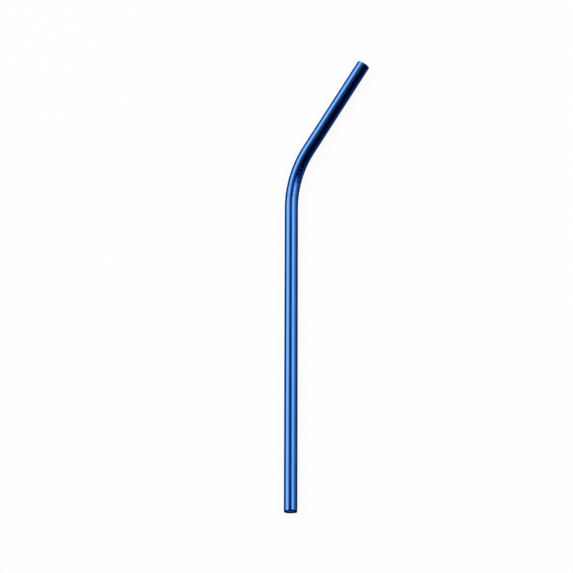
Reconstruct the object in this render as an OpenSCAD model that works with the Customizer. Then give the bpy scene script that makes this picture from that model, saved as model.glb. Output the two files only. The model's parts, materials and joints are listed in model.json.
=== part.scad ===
// Bent drinking straw: one thin-walled stainless tube, cold bent once, open at both ends.
// It lies flat with both legs touching the table. Millimetres.
// Origin: centre of the bounding box, on the table. +Y runs up the long leg towards the bend,
// the short mouth leg leans over towards +X, and +Z is up.

/* [Tube] */
// Outside diameter of the drawn tube
tube_od = 6; // [5:0.25:8]
// Thickness of the tube's wall
wall = 0.5; // [0.3:0.05:0.8]

/* [Ends] */
// Radius that tumbling leaves on both edges of each cut end, at most half the wall
rim_round = 0.25; // [0.05:0.05:0.4]

/* [Length and bend] */
// Length of the straight tube before it is bent, along its centre line
cut_length = 215; // [180:1:265]
// Straight length of the short leg, from the end of the bend to the mouth
mouth_leg = 47.8; // [35:0.1:70]
// Radius of the bend at the tube's centre line
bend_radius = 52; // [25:1:80]
// How far the short leg turns away from the long one, in degrees
bend_angle = 31.8; // [10:0.1:60]

/* [Hidden] */
$fn = 128;
tube_r = tube_od / 2;
bore_r = tube_r - wall;
rim = min(rim_round, wall / 2);
// The long leg takes what the bend and the short leg leave of the cut length.
bend_length = bend_radius * bend_angle * PI / 180;
long_leg = cut_length - mouth_leg - bend_length;
// Middle of the short leg's mouth, seen from where the bend starts.
mouth_x = bend_radius * (1 - cos(bend_angle)) + mouth_leg * sin(bend_angle);
mouth_y = bend_radius * sin(bend_angle) + mouth_leg * cos(bend_angle);
// The farthest points of that mouth's rounded rim.
reach_x = mouth_x - rim * sin(bend_angle) + (tube_r - rim) * cos(bend_angle) + rim;
reach_y = mouth_y - rim * cos(bend_angle) + (tube_r - rim) * sin(bend_angle) + rim;
// Where the bend starts in the part's frame, which has its origin at the middle of the whole.
start_x = (tube_r - reach_x) / 2;
start_y = (long_leg - reach_y) / 2;

// Half section of a leg that ends at height 0 and rises to its open, rounded end.
module leg_section(length) {
    translate([bore_r, 0])
        square([wall, length - rim]);
    // the flat that is left between the two rounded edges
    if (wall - 2 * rim > 0.001)
        translate([bore_r + rim, length - rim - 0.1])
            square([wall - 2 * rim, rim + 0.1]);
    translate([bore_r + rim, length - rim])
        circle(r = rim);
    translate([tube_r - rim, length - rim])
        circle(r = rim);
}

// A straight leg along +Z, joined to the bend at height 0 and open at its far end.
module leg(length) {
    rotate_extrude()
        leg_section(length);
}

// The bend about the origin, from the +X axis on to the left.
module bend() {
    rotate_extrude(angle = bend_angle)
        translate([bend_radius, 0])
            difference() {
                circle(r = tube_r);
                circle(r = bore_r);
            }
}

// Turns about Z in two steps: the second takes up what rounding the first to six figures leaves.
module turned(angle) {
    rounded = atan2(round(sin(angle) * 1e6), round(cos(angle) * 1e6));
    rotate([0, 0, angle])
        rotate([0, 0, angle - rounded])
            children();
}

// The whole tube about the bend's centre. The legs are turned by half the bend each, one either
// way, so that both meet the bend's ends face to face and the three become one solid.
module tube() {
    turned(-bend_angle / 2) {
        bend();
        translate([bend_radius, 0, 0])
            rotate([90, 0, 0])
                leg(mouth_leg);
    }
    turned(bend_angle / 2)
        translate([bend_radius, 0, 0])
            rotate([-90, 0, 0])
                leg(long_leg);
}

// Half a turn and half the bend bring the long leg down the -Y side, with the bend to +X.
module straw() {
    color([0.27, 0.60, 0.98])
        translate([start_x + bend_radius, start_y, tube_r])
            rotate([0, 0, 180 - bend_angle / 2])
                tube();
}

straw();
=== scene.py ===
# %% [markdown]
# # A bent stainless steel drinking straw
#
# The real thing is one thin steel tube: drawn, cut to length, tumbled until the cut ends are
# round, bent once in a bending machine, polished, and given a blue coat in a vacuum chamber.
# This lesson makes it in that order, so each step of the modelling is a step of the making.
#
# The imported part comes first, as a fixed frame. Everything here is in metres, in that frame:
# the straw lies on the table at z = 0, its long leg runs along +Y, and the short leg leans to +X.

import bmesh
import bpy
import json
from math import atan2, cos, degrees, pi, radians, sin, sqrt
from mathutils import Matrix, Quaternion, Vector


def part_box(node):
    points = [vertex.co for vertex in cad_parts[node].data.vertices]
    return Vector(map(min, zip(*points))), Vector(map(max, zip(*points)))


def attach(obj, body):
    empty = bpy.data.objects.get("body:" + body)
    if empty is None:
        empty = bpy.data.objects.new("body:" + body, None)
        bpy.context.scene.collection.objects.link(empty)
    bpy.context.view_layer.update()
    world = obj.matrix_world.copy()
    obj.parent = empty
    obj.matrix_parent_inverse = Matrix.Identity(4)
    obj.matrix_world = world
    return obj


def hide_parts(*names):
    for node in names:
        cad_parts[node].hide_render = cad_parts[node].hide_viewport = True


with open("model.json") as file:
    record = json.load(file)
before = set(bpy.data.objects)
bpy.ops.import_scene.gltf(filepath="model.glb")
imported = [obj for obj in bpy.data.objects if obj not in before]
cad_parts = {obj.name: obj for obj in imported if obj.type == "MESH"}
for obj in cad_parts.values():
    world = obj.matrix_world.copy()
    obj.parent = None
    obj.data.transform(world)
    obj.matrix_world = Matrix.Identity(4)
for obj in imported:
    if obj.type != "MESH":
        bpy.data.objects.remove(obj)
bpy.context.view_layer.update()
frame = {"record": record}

# %% [markdown]
# ## The sizes
#
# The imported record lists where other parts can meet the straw: the round outside and the bore of
# both legs. Those four entries hold every size of the tube, so the sizes are read from there and
# not typed in again. The bend follows from where the two legs stop and how far they are turned.

# %% Read the tube's sizes
millimetre = 0.001
mounts = {m["name"]: m for m in frame["record"]["mounts"]}


def leg_line(name):
    """Where a leg's even part ends near its mouth, the way out of the mouth, radius and length."""
    mount = mounts[name]
    radius, length = mount["dims"]["r_mm"] * millimetre, mount["dims"]["length_mm"] * millimetre
    return Vector(mount["pos_m"]), Vector(mount["axis"]).normalized(), radius, length


long_end, long_out, tube_radius, long_even = leg_line("long_leg_outside")
mouth_end, mouth_out, _, mouth_even = leg_line("mouth_leg_outside")
bore_radius = leg_line("long_leg_bore")[2]
rim = abs(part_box("straw")[0].y - long_end.y)

bend_start = long_end - long_out * long_even
bend_stop = mouth_end - mouth_out * mouth_even
bend_angle = (-long_out).angle(mouth_out)
bend_radius = (bend_stop - bend_start).length / (2 * sin(bend_angle / 2))
bend_centre = bend_start + Vector((bend_radius, 0, 0))
print(f"tube {tube_radius * 2000:.2f} mm outside, bore {bore_radius * 2000:.2f} mm")
print(f"rims rounded by {rim * 1000:.2f} mm")
print(f"bend {degrees(bend_angle):.2f} degrees at radius {bend_radius * 1000:.2f} mm")

# %% Lengths along the straight tube
# Before it is bent the tube is one straight line, and s is the distance along it from the long mouth.
s_bend = long_even + rim
s_short = s_bend + bend_radius * bend_angle
s_total = s_short + mouth_even + rim
print(f"cut length {s_total * 1000:.2f} mm, bend from {s_bend * 1000:.2f} to {s_short * 1000:.2f} mm")

# %% [markdown]
# ## The camera
#
# The straw is seen from almost straight above, a little from the side of the long mouth, through
# a long lens, so its sides stay parallel. The distance and the lens were worked out from how the
# tube's width shrinks from the near end to the far end. The tiny roll is the photographer's own.

# %% Camera
camera_data = bpy.data.cameras.new("camera")
camera = bpy.data.objects.new("camera", camera_data)
bpy.context.scene.collection.objects.link(camera)
bpy.context.scene.camera = camera

PHOTO_SIDE = 573
FOCAL_PIXELS = 2400
camera_data.sensor_width = 36
camera_data.lens = FOCAL_PIXELS / PHOTO_SIDE * camera_data.sensor_width

aim = Vector((-0.018335, -0.001886, 0.003))
elevation = radians(77.73)
camera_distance = 1.0798
towards_camera = Vector((0, -cos(elevation), sin(elevation)))
camera.location = aim + towards_camera * camera_distance
camera.rotation_mode = "QUATERNION"
roll = Quaternion((0, 0, 1), radians(0.177))
camera.rotation_quaternion = (-towards_camera).to_track_quat("-Z", "Y") @ roll
camera_data.clip_start, camera_data.clip_end = 0.01, 20
print(f"lens {camera_data.lens:.1f} mm, camera at {[round(c, 3) for c in camera.location]}")

# %% [markdown]
# ## Colours and nodes
#
# Colours are written as they look on a screen, in hex, and one function turns them to the linear
# light that Cycles works in. Node trees are built with one small function that adds a node, sets
# its values and links its inputs, which keeps a material's recipe readable from top to bottom.

# %% Helpers for colours and nodes


def linear(hex_colour, alpha=1.0):
    """A screen colour such as #4599FA as the linear light that a shader takes."""
    parts = [int(hex_colour[i:i + 2], 16) / 255 for i in (1, 3, 5)]
    return [c / 12.92 if c <= 0.04045 else ((c + 0.055) / 1.055) ** 2.4 for c in parts] + [alpha]


def add_node(tree, kind, settings=None, links=None):
    """Adds a node. settings names its properties or the sockets to set, links its linked inputs."""
    node = tree.nodes.new(kind)
    for name, value in (settings or {}).items():
        if isinstance(name, str) and hasattr(node, name):
            setattr(node, name, value)
        else:
            node.inputs[name].default_value = value
    for name, source in (links or {}).items():
        tree.links.new(source, node.inputs[name])
    return node


def new_material(name):
    """An empty material and its node tree."""
    material = bpy.data.materials.new(name)
    material.use_nodes = True
    material.node_tree.nodes.clear()
    return material, material.node_tree


def smooth_edges(tree, *edges):
    """A soft-edged area, as the product of smooth steps, one for each edge.

    An edge is a value, where its step starts and stops, and the levels there (0 and 1 if not given).
    """
    area = None
    for value, start, stop, *levels in edges:
        low, high = levels or (0.0, 1.0)
        edge = add_node(tree, "ShaderNodeMapRange", {
            "interpolation_type": "SMOOTHSTEP", "From Min": start, "From Max": stop,
            "To Min": low, "To Max": high,
        }, {"Value": value}).outputs[0]
        if area is not None:
            edge = add_node(tree, "ShaderNodeMath", {"operation": "MULTIPLY"}, {0: area, 1: edge}).outputs[0]
        area = edge
    return area


def mirror_or_camera(tree):
    """1 for the rays that look for the background: from the camera, in gloss and through glass."""
    rays = add_node(tree, "ShaderNodeLightPath").outputs
    seen = rays["Is Camera Ray"]
    for kind in ("Is Glossy Ray", "Is Transmission Ray"):
        either = add_node(tree, "ShaderNodeMath", {"operation": "MAXIMUM"}, {0: seen, 1: rays[kind]})
        seen = either.outputs[0]
    return seen


# %% [markdown]
# ## The white table and the world
#
# The product lies on white sweep paper that is lit until it turns pure white. The world is plain
# white at strength 1. The floor is matt white paper, and what the camera and the metal see of it
# is mostly a white glow, so it stays white and yet keeps a faint contact shadow of the straw.

# %% White world
world = bpy.data.worlds.new("white_room")
bpy.context.scene.world = world
world.use_nodes = True
world_tree = world.node_tree
world_tree.nodes.clear()
# Only the rays that look for the background meet the full white. The rest get a plain light.
room_level = add_node(world_tree, "ShaderNodeMapRange", {"To Min": 0.8, "To Max": 1.0},
                      {"Value": mirror_or_camera(world_tree)})
background = add_node(world_tree, "ShaderNodeBackground", {"Color": linear("#FFFFFF")},
                      {"Strength": room_level.outputs["Result"]})
add_node(world_tree, "ShaderNodeOutputWorld", links={"Surface": background.outputs[0]})
# The whole room is even, so picking directions in it would only add noise to the gloss.
world.cycles.sampling_method = "NONE"
bpy.context.scene.view_settings.view_transform = "Standard"

# %% Sweep paper
# How much of the paper's look is the white glow. The rest is matt and takes the shadow.
GLOW_SHARE = 0.91
paper, paper_tree = new_material("white_sweep_paper")
paper.cycles.emission_sampling = "NONE"
glow_share = add_node(paper_tree, "ShaderNodeMath", {"operation": "MULTIPLY", 1: GLOW_SHARE},
                      {0: mirror_or_camera(paper_tree)})
matt = add_node(paper_tree, "ShaderNodeBsdfDiffuse", {"Color": linear("#F4F4F4")})
glow = add_node(paper_tree, "ShaderNodeEmission", {"Color": linear("#FFFFFF"), "Strength": 1.0})
lit_paper = add_node(paper_tree, "ShaderNodeMixShader",
                     links={0: glow_share.outputs[0], 1: matt.outputs[0], 2: glow.outputs[0]})
add_node(paper_tree, "ShaderNodeOutputMaterial", links={"Surface": lit_paper.outputs[0]})


def stage_object(name, bm, material):
    """A piece of the studio: a mesh that isn't part of the straw."""
    mesh = bpy.data.meshes.new(name)
    bm.to_mesh(mesh)
    bm.free()
    mesh.materials.append(material)
    piece = bpy.data.objects.new(name, mesh)
    bpy.context.scene.collection.objects.link(piece)
    return piece


bm = bmesh.new()
bmesh.ops.create_grid(bm, x_segments=1, y_segments=1, size=4.0)
floor = stage_object("floor", bm, paper)

# %% Soft lamp
lamp_data = bpy.data.lights.new("overhead_softbox", "AREA")
lamp_data.shape = "RECTANGLE"
lamp_data.size, lamp_data.size_y = 1.6, 1.2
lamp_data.energy = 8
lamp = bpy.data.objects.new("overhead_softbox", lamp_data)
bpy.context.scene.collection.objects.link(lamp)
lamp.location = (-0.7, 0.5, 1.4)
lamp.rotation_mode = "QUATERNION"
lamp.rotation_quaternion = (-lamp.location).to_track_quat("-Z", "Y")
# Its image in the steel is drawn by the tent's windows, so the lamp itself stays out of the gloss.
lamp.visible_glossy = False

# %% [markdown]
# ## The tent that the steel mirrors
#
# A polished tube mirrors the whole room, so a photographer hides the room behind cards. In the
# photograph two bright stripes run along the tube between dark ones: a soft window low on the
# left, another on the right that stops before the short leg can see it, and dark blue cards
# everywhere else, on the table as well. Here they are one big globe, the tent, and a mat on the
# paper. Both show in gloss alone: the camera, the lamps and the shadow ignore them.

# %% Tent material
tent_cloth, tent_tree = new_material("navy_tent_with_two_windows")
tent_cloth.cycles.emission_sampling = "NONE"
place = add_node(tent_tree, "ShaderNodeTexCoord")
way = add_node(tent_tree, "ShaderNodeVectorMath", {"operation": "NORMALIZE"}, {0: place.outputs["Object"]})
level_way = add_node(tent_tree, "ShaderNodeVectorMath", {"operation": "MULTIPLY", 1: (1, 1, 0)},
                     {0: way.outputs[0]})
off_zenith = add_node(tent_tree, "ShaderNodeVectorMath", {"operation": "LENGTH"}, {0: level_way.outputs[0]})
off_zenith = off_zenith.outputs["Value"]
way = add_node(tent_tree, "ShaderNodeSeparateXYZ", links={0: way.outputs[0]})
east, north = way.outputs["X"], way.outputs["Y"]

# %% Windows and cards by direction
# east runs from -1 to 1 across the long leg, north along it, and off_zenith is 0 straight above.
# The left window is two softboxes side by side, and its edge draws back where they meet.
seam = smooth_edges(tent_tree, (north, 0.22, 0.42), (north, 0.62, 0.42, 0.0, 0.125))
left_side = add_node(tent_tree, "ShaderNodeMath", {"operation": "SUBTRACT"}, {0: off_zenith, 1: seam})
left_window = smooth_edges(tent_tree, (left_side.outputs[0], 0.24, 0.86), (east, 0.0, -0.25),
                           (north, -0.10, 0.04))
# The right window's inner edge is slanted, and it grows dim towards the far side of the room.
slanted = add_node(tent_tree, "ShaderNodeMath", {"operation": "MULTIPLY_ADD", 1: 0.8}, {0: north, 2: east})
right_window = smooth_edges(tent_tree, (slanted.outputs[0], 0.20, 0.52), (north, 0.00, 0.08),
                            (east, 0.50, 1.12, 1.0, 0.35))
side_glow = smooth_edges(tent_tree, (east, 0.65, 1.0, 0.0, 0.3), (north, -0.25, 0.1))
cards = smooth_edges(tent_tree, (east, 0.2, -0.1, 0.0, 0.2), (north, 0.4, 0.2, 0.55, 1.0),
                     (north, -0.05, 0.08, 0.3, 1.0))
# Low in the south the room shows past the cards, and the rounding of the long mouth picks it up.
far_south = smooth_edges(tent_tree, (north, -0.50, -0.70, 0.0, 0.42))
level = add_node(tent_tree, "ShaderNodeMath", {"operation": "ADD"}, {0: side_glow, 1: cards}).outputs[0]
for area in (left_window, right_window, far_south):
    level = add_node(tent_tree, "ShaderNodeMath", {"operation": "MAXIMUM"}, {0: level, 1: area}).outputs[0]

# %% Colour of the tent's cloth
cloth = add_node(tent_tree, "ShaderNodeValToRGB", links={"Fac": level})
LIGHT_BY_LEVEL = [(0.0, "#000D1F"), (0.13, "#173866"), (0.26, "#224D88"), (0.5, "#5E8FBB"),
                  (0.68, "#9AB6D6"), (1.0, "#FFFFFF")]
for _ in LIGHT_BY_LEVEL[2:]:
    cloth.color_ramp.elements.new(0.5)
for stop, (position, hex_colour) in zip(cloth.color_ramp.elements, LIGHT_BY_LEVEL):
    stop.position, stop.color = position, linear(hex_colour)
tent_light = add_node(tent_tree, "ShaderNodeEmission", {"Strength": 1.0}, {"Color": cloth.outputs[0]})
add_node(tent_tree, "ShaderNodeOutputMaterial", links={"Surface": tent_light.outputs[0]})


def gloss_only(piece):
    """Shows in reflections and nowhere else."""
    piece.visible_camera = piece.visible_diffuse = piece.visible_shadow = False
    piece.visible_transmission = piece.visible_volume_scatter = False
    piece.visible_glossy = True


# %% Tent
TENT_RADIUS = 30.0
bm = bmesh.new()
bmesh.ops.create_icosphere(bm, subdivisions=5, radius=TENT_RADIUS)
tent = stage_object("tent", bm, tent_cloth)
gloss_only(tent)
print("tent of radius", TENT_RADIUS, "m, seen in gloss alone")

# %% Mat on the paper
# The mat is navy, and almost black from where the long mouth ends.
MAT_HEIGHT = 0.00005
DARKENS_FROM, DARKENS_TO = -0.103, -0.105
mat_card, mat_tree = new_material("navy_card")
mat_card.cycles.emission_sampling = "NONE"
mat_place = add_node(mat_tree, "ShaderNodeTexCoord")
mat_place = add_node(mat_tree, "ShaderNodeSeparateXYZ", links={0: mat_place.outputs["Object"]})
before_mouth = add_node(mat_tree, "ShaderNodeMapRange", {"From Min": DARKENS_FROM, "From Max": DARKENS_TO},
                        {"Value": mat_place.outputs["Y"]})
mat_colour = add_node(mat_tree, "ShaderNodeMix",
                      {"data_type": "RGBA", 6: linear("#1B3F6F"), 7: linear("#000610")},
                      {0: before_mouth.outputs[0]})
mat_light = add_node(mat_tree, "ShaderNodeEmission", {"Strength": 1.0}, {"Color": mat_colour.outputs[2]})
add_node(mat_tree, "ShaderNodeOutputMaterial", links={"Surface": mat_light.outputs[0]})
bm = bmesh.new()
bmesh.ops.create_grid(bm, x_segments=1, y_segments=1, size=3.9)
bmesh.ops.translate(bm, verts=bm.verts, vec=(0, 0, MAT_HEIGHT))
mat = stage_object("mat", bm, mat_card)
gloss_only(mat)

# %% [markdown]
# ## A black flag over the short leg
#
# The right-hand stripe runs all along the long leg and fades out in the bend, and the short leg is
# almost black on that side. A photographer does that with a flag, a small black card held close
# above the leg. Its near edge is soft, so the stripe fades instead of stopping.

# %% The flag's cloth
# Where the edge starts and ends, measured along +Y, and how much it leans towards +X.
FLAG_FADE, FLAG_LEAN = (0.0418, 0.0508), 0.07
flag_cloth, flag_tree = new_material("black_flag")
flag_cloth.cycles.emission_sampling = "NONE"
place = add_node(flag_tree, "ShaderNodeTexCoord")
spot = add_node(flag_tree, "ShaderNodeSeparateXYZ", links={0: place.outputs["Object"]})
lean = add_node(flag_tree, "ShaderNodeMath", {"operation": "MULTIPLY_ADD", 1: FLAG_LEAN},
                {0: spot.outputs["X"], 2: spot.outputs["Y"]})
soft_edge = smooth_edges(flag_tree, (lean.outputs[0], *FLAG_FADE))
clear = add_node(flag_tree, "ShaderNodeBsdfTransparent")
# Where the edge is thin, the window glows through it in blue.
flag_colour = add_node(flag_tree, "ShaderNodeMix",
                       {"data_type": "RGBA", 6: linear("#0A64D8"), 7: linear("#000D1F")}, {0: soft_edge})
dark = add_node(flag_tree, "ShaderNodeEmission", {"Strength": 1.0}, {"Color": flag_colour.outputs[2]})
flag_mix = add_node(flag_tree, "ShaderNodeMixShader",
                    links={0: soft_edge, 1: clear.outputs[0], 2: dark.outputs[0]})
add_node(flag_tree, "ShaderNodeOutputMaterial", links={"Surface": flag_mix.outputs[0]})

# %% Hang the flag
FLAG_WIDTH, FLAG_LENGTH, FLAG_HEIGHT = 0.03, 0.13, 0.013
# The left edge hangs just right of the leg's axis, and the card reaches past the bend.
FLAG_RIGHT, FLAG_FORWARD = 0.00043, 0.02
bm = bmesh.new()
bmesh.ops.create_grid(bm, x_segments=1, y_segments=1, size=0.5)
bmesh.ops.scale(bm, verts=bm.verts, vec=(FLAG_WIDTH, FLAG_LENGTH, 1))
bmesh.ops.translate(bm, verts=bm.verts, vec=(FLAG_WIDTH / 2 + FLAG_RIGHT, FLAG_FORWARD, 0))
bmesh.ops.rotate(bm, verts=bm.verts, matrix=Matrix.Rotation(-bend_angle, 3, "Z"))
bmesh.ops.translate(bm, verts=bm.verts, vec=(bend_stop.x, bend_stop.y, FLAG_HEIGHT))
flag = stage_object("flag", bm, flag_cloth)
gloss_only(flag)
print("flag hangs", round((FLAG_HEIGHT - 2 * tube_radius) * 1000, 1), "mm above the top of the tube")

# %% [markdown]
# ## The drawn tube
#
# The tube starts straight, as the real one does. Two circles, one for the outside and one for the
# bore, are joined by a ring of faces, which is the cut end. Pushed along +Y in steps, the circles
# draw the two walls behind them, and a second ring of faces closes the far end. The steps are
# short where the tube will bend and next to both ends, and long where nothing happens.

# %% Stations along the tube
SIDES = 96
BEND_STEPS = 180
beside_rim = [rim * k for k in (1.4, 1.8, 2.3, 2.8, 3.4, 4.2, 5, 8)]
stations = [0.0] + beside_rim
stations += [s_bend * k / 12 for k in range(1, 12)]
stations += [s_bend + (s_short - s_bend) * k / BEND_STEPS for k in range(BEND_STEPS + 1)]
stations += [s_short + (s_total - s_short) * k / 6 for k in range(1, 6)]
stations += [s_total - s for s in reversed(beside_rim)] + [s_total]
print(len(stations), "rings of", SIDES, "points on each wall")

# %% Draw it straight
bm = bmesh.new()
upright = Matrix.Rotation(radians(90), 4, "X")
for radius in (tube_radius, bore_radius):
    bmesh.ops.create_circle(bm, cap_ends=False, segments=SIDES, radius=radius, matrix=upright)
front = bm.edges[:]
bmesh.ops.bridge_loops(bm, edges=front)
for here, there in zip(stations, stations[1:]):
    pushed = bmesh.ops.extrude_edge_only(bm, edges=front)["geom"]
    front = [g for g in pushed if isinstance(g, bmesh.types.BMEdge)]
    moved = [g for g in pushed if isinstance(g, bmesh.types.BMVert)]
    bmesh.ops.translate(bm, verts=moved, vec=(0, there - here, 0))
bmesh.ops.bridge_loops(bm, edges=front)
bmesh.ops.recalc_face_normals(bm, faces=bm.faces)
steel_volume = bm.calc_volume() / millimetre ** 3
print(len(bm.verts), "points,", len(bm.faces), "faces,", round(steel_volume, 1), "cubic mm of steel")

# %% [markdown]
# ## The tumbled ends
#
# A saw leaves sharp edges, and tumbling in stone chips rounds them until the end is one soft lip.
# A bevel on the four sharp circles does that. It stops a hundredth of a millimetre short of the
# middle of the wall, so the inner and the outer rounding don't run into each other.

# %% Round both ends
ROUNDING_GAP = 0.00001


def at_an_end(edge):
    """True for the sharp circles: a side of one cut face and one wall."""
    cuts = [f for f in edge.link_faces if abs(f.normal.y) > 0.5]
    return len(cuts) == 1


bm.normal_update()
sharp = [e for e in bm.edges if at_an_end(e)]
bmesh.ops.bevel(bm, geom=sharp, offset=rim - ROUNDING_GAP, offset_type="OFFSET", segments=6, profile=0.5,
                affect="EDGES", material=-1)
bmesh.ops.recalc_face_normals(bm, faces=bm.faces)
print(len(sharp), "sharp edges rounded")

# %% [markdown]
# The mouth that goes into the drink is rounded more than the other one: its outside falls away
# over the last millimetre towards the bore. The bore itself keeps its size up to the rounding.

# %% Soften the long mouth's outer edge
LIP_LENGTH, LIP_FALL = 0.0011, 0.00044
for v in bm.verts:
    radius = sqrt(v.co.x ** 2 + v.co.z ** 2)
    if v.co.y < LIP_LENGTH and radius > bore_radius:
        into_lip = min(1 - v.co.y / LIP_LENGTH, 1.0)
        share = (radius - bore_radius) / (tube_radius - bore_radius)
        shrink = 1 - LIP_FALL * (1 - sqrt(1 - into_lip ** 2)) * share / radius
        v.co.x *= shrink
        v.co.z *= shrink
print("outer edge falls", round(LIP_FALL * 1000, 2), "mm over the last", round(LIP_LENGTH * 1000, 1), "mm")

# %% [markdown]
# ## A memory of the straight tube
#
# Draw lines, polish and coat were laid along the tube, so they follow it round the bend. Each
# point keeps the place that it had in the straight tube, in an attribute that the material reads.

# %% Keep the straight places
straight_place = bm.verts.layers.float_vector.new("straight_tube")
for v in bm.verts:
    v[straight_place] = v.co.copy()

# %% [markdown]
# ## The marks of the bending
#
# A tube that is bent cold is squeezed on the inside of the bend. The steel gathers there in
# shallow ripples: a fine pair of creases where the bend begins, an uneven patch, and two small
# dents further up. They are hundredths of a millimetre deep, too little to show in the outline,
# but a mirror shows them at once. Both walls follow them, so they are moved together. The
# creases also get painted shade in the coat's colour, and the two small dents a painted highlight.

# %% Ripples
# distance from the bend's start, half length along the tube and depth, all in millimetres; the
# middle of the mark round the tube, in degrees from straight up towards the inside of the bend,
# and its half width there; and how much painted shade and how much pale painted highlight it gets
MARKS = [
    # the two fine creases where the bend begins get painted shade
    (5.4, 0.26, 0.022, 0, 105, 0.50, 0.0),
    (7.1, 0.26, 0.018, 0, 105, 0.30, 0.0),
    (11.4, 0.52, 0.045, 20, 36, 0.0, 0.0),
    (13.4, 0.52, 0.045, 22, 34, 0.0, 0.0),
    (15.3, 0.45, 0.036, 18, 30, 0.0, 0.0),
    # the two small dents get a pale painted highlight, on a rougher and thinner coat
    (16.8, 0.42, 0.030, 20, 26, 0.0, 0.9),
    (18.8, 0.42, 0.025, 20, 26, 0.0, 0.9),
]


def inside_mark(s, turn, mark):
    """1 in the middle of a mark, falling smoothly to 0 at its edge."""
    where, half_long, _, middle, half_wide, _, _ = mark
    along = (s - s_bend - where * millimetre) / (2 * half_long * millimetre)
    round_it = (turn - middle) / half_wide
    if abs(along) > 1 or abs(round_it) > 1:
        return 0.0
    return (1 + cos(pi * along)) / 2 * (1 + cos(pi * round_it)) / 2


# Two layers: painted shade in the creases, and a painted highlight on the two small dents.
painted_crease_shade = bm.verts.layers.float.new("painted_crease_shade")
painted_dent_highlight = bm.verts.layers.float.new("painted_dent_highlight")
for v in bm.verts:
    outward = Vector((v.co.x, 0, v.co.z)).normalized()
    turn = degrees(atan2(v.co.x, v.co.z))
    shares = [inside_mark(v.co.y, turn, mark) for mark in MARKS]
    v[painted_crease_shade] = sum(share * mark[5] for share, mark in zip(shares, MARKS))
    v[painted_dent_highlight] = sum(share * mark[6] for share, mark in zip(shares, MARKS))
    v.co -= outward * sum(share * mark[2] * millimetre for share, mark in zip(shares, MARKS))
print(len(MARKS), "marks, the deepest", max(mark[2] for mark in MARKS), "mm")

# %% [markdown]
# ## Bending
#
# The long leg is clamped and the rest is wrapped round the bending die. A ring in the bend turns
# about the die's centre by its own share of the angle, and all of the short leg by the whole.

# %% Bend the tube


def bent(place):
    """Where a point of the straight tube ends up."""
    along = place.y
    share = min(max((along - s_bend) / bend_radius, 0.0), bend_angle)
    straight_rest = along - s_bend - share * bend_radius
    from_centre = Vector((place.x - bend_radius, straight_rest, place.z))
    return bend_centre + Matrix.Rotation(-share, 3, "Z") @ from_centre


for v in bm.verts:
    v.co = bent(v.co)
for f in bm.faces:
    f.smooth = True
bmesh.ops.recalc_face_normals(bm, faces=bm.faces)

# %% [markdown]
# ## The coated steel
#
# The straw is AISI 304 stainless steel, drawn over a mandrel, mirror polished, and coated blue with
# a titanium based film in a vacuum chamber. The film is dense and clear, so it lays a cool white
# gloss over the blue. Its vapour hardly gets into the tube: a few millimetres in from each mouth
# the coat thins out, and the bore is bare drawn steel.

# %% Places on the tube
steel, steel_tree = new_material("vapour_coated_stainless_steel")


def on_steel(kind, settings=None, links=None, output=0):
    """Adds a node to the steel and gives one of its outputs."""
    return add_node(steel_tree, kind, settings, links).outputs[output]


tube_place = on_steel("ShaderNodeAttribute", {"attribute_name": "straight_tube"}, output="Vector")
# The creases' painted shade and the dents' painted highlight, as kept on the mesh.
crease_shade_share = on_steel("ShaderNodeAttribute", {"attribute_name": "painted_crease_shade"}, output="Fac")
dent_highlight_share = on_steel("ShaderNodeAttribute", {"attribute_name": "painted_dent_highlight"}, output="Fac")
distance = on_steel("ShaderNodeSeparateXYZ", None, {0: tube_place}, "Y")
across = on_steel("ShaderNodeVectorMath", {"operation": "MULTIPLY", 1: (1, 0, 1)}, {0: tube_place})
from_axis = on_steel("ShaderNodeVectorMath", {"operation": "LENGTH"}, {0: across}, "Value")
other_way = on_steel("ShaderNodeMath", {"operation": "SUBTRACT", 0: s_total}, {1: distance})
into_mouth = on_steel("ShaderNodeMath", {"operation": "MINIMUM"}, {0: distance, 1: other_way})

# %% [markdown]
# Each kind of detail is a noise with its own grain, given in real millimetres across and along the
# tube. Draw lines on such a tube are a few hundredths of a millimetre apart. They are drawn four
# times as coarse here, so that a close view can still hold them.

# %% Grain of the surface


def grain(across_mm, along_mm, detail, roughness=0.5):
    """Noise whose blots are about so many millimetres across and along the tube."""
    scale = (1 / (across_mm * millimetre), 1 / (along_mm * millimetre), 1 / (across_mm * millimetre))
    stretched = on_steel("ShaderNodeVectorMath", {"operation": "MULTIPLY", 1: scale}, {0: tube_place})
    return on_steel("ShaderNodeTexNoise", {"Scale": 1.0, "Detail": detail, "Roughness": roughness},
                    {"Vector": stretched})


draw_lines = grain(0.15, 35, 2.0)
polish_waves = grain(1.8, 3.5, 1.0)
clouds = grain(5, 14, 3.0)
smears = smooth_edges(steel_tree, (grain(7, 18, 2.0), 0.52, 0.68))
# Hairline scratches are the thin level lines of a slow noise, kept only in some places.
level_line = on_steel("ShaderNodeMath", {"operation": "SUBTRACT", 1: 0.5}, {0: grain(2.5, 30, 1.0)})
level_line = on_steel("ShaderNodeMath", {"operation": "ABSOLUTE"}, {0: level_line})
scratches = smooth_edges(steel_tree, (level_line, 0.0, 0.012, 1.0, 0.0), (grain(4, 12, 1.0), 0.56, 0.66))

# %% Where the coat is
# Bare steel is 1 deep in the bore, and 0 near the mouths and outside.
bare = smooth_edges(steel_tree, (from_axis, bore_radius + 0.00001, bore_radius + 0.00006, 1.0, 0.0),
                    (into_mouth, 0.0015, 0.007))
# Lips meet the rounded edges and wear the film thin there.
on_lip = smooth_edges(steel_tree, (into_mouth, 0.00005, 0.0004, 0.45, 0.0), (clouds, 0.35, 0.6))

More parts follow.
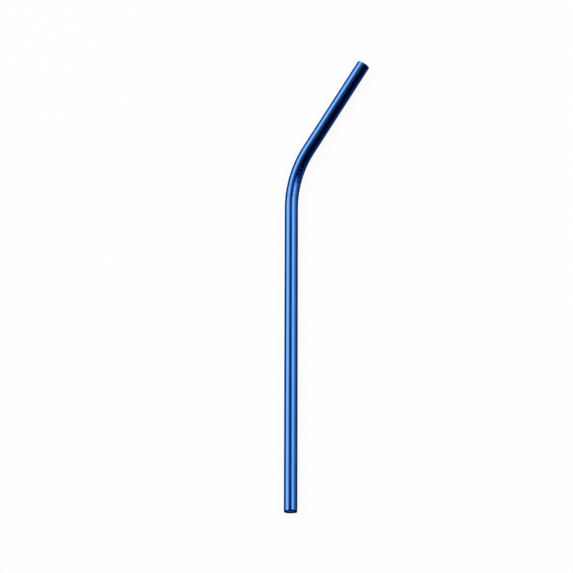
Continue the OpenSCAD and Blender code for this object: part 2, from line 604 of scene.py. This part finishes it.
# %% Colour
film = on_steel("ShaderNodeMix", {"data_type": "RGBA", 6: linear("#49A5F8"), 7: linear("#57B1FF")},
                {0: clouds}, 2)
faint_scratches = on_steel("ShaderNodeMath", {"operation": "MULTIPLY", 1: 0.3}, {0: scratches})
# Dark navy is painted shade in the bend's creases and pale lilac a painted highlight on the two dents; the
# light scratches and the pale lips are wear on the film.
WEAR_AND_PAINTED_LIGHT = [(crease_shade_share, "#0A2F66"), (dent_highlight_share, "#9C9AB8"), (faint_scratches, "#B4D2F0"),
             (on_lip, "#A9C4DA")]
for share, hex_colour in WEAR_AND_PAINTED_LIGHT:
    film = on_steel("ShaderNodeMix", {"data_type": "RGBA", 7: linear(hex_colour)}, {0: share, 6: film}, 2)
drawn_steel = on_steel("ShaderNodeMix", {"data_type": "RGBA", 6: linear("#A29F9A"), 7: linear("#C4C1BB")},
                       {0: draw_lines}, 2)
colour = on_steel("ShaderNodeMix", {"data_type": "RGBA"}, {0: bare, 6: film, 7: drawn_steel}, 2)

# %% Gloss and fine relief
roughness = smooth_edges(steel_tree, (clouds, 0.25, 0.75, 0.10, 0.13))
RUBBING = [(0.03, draw_lines), (0.06, smears), (0.18, scratches), (0.15, crease_shade_share),
           (0.40, dent_highlight_share), (0.20, bare)]
for amount, mask in RUBBING:
    roughness = on_steel("ShaderNodeMath", {"operation": "MULTIPLY_ADD", 1: amount}, {0: mask, 2: roughness})
waves = on_steel("ShaderNodeBump", {"Strength": 1.0, "Distance": 0.000006}, {"Height": polish_waves})
lines = on_steel("ShaderNodeBump", {"Strength": 1.0, "Distance": 0.0000004},
                 {"Height": draw_lines, "Normal": waves})
# The coat is thinner on the dents that carry the painted highlight.
coat = smooth_edges(steel_tree, (bare, 0.0, 1.0, 1.0, 0.0), (dent_highlight_share, 0.0, 1.0, 1.0, 0.4))
# The bore keeps a dull skin from the drawing, which scatters some of the light that falls in.
metal = smooth_edges(steel_tree, (bare, 0.0, 1.0, 1.0, 0.65))

# %% The shader
shader = add_node(steel_tree, "ShaderNodeBsdfPrincipled", {"Coat IOR": 2.1, "Coat Roughness": 0.05}, {
    "Base Color": colour, "Metallic": metal, "Roughness": roughness, "Normal": lines,
    "Coat Weight": coat, "Coat Normal": waves,
})
add_node(steel_tree, "ShaderNodeOutputMaterial", links={"Surface": shader.outputs[0]})

# %% Straw
mesh = bpy.data.meshes.new("bent_straw")
bm.to_mesh(mesh)
bm.free()
mesh.materials.append(steel)
straw = bpy.data.objects.new("bent_straw", mesh)
bpy.context.scene.collection.objects.link(straw)
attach(straw, "root")
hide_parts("straw")
print(len(mesh.polygons), "faces,", sum(len(p.vertices) - 2 for p in mesh.polygons), "triangles")
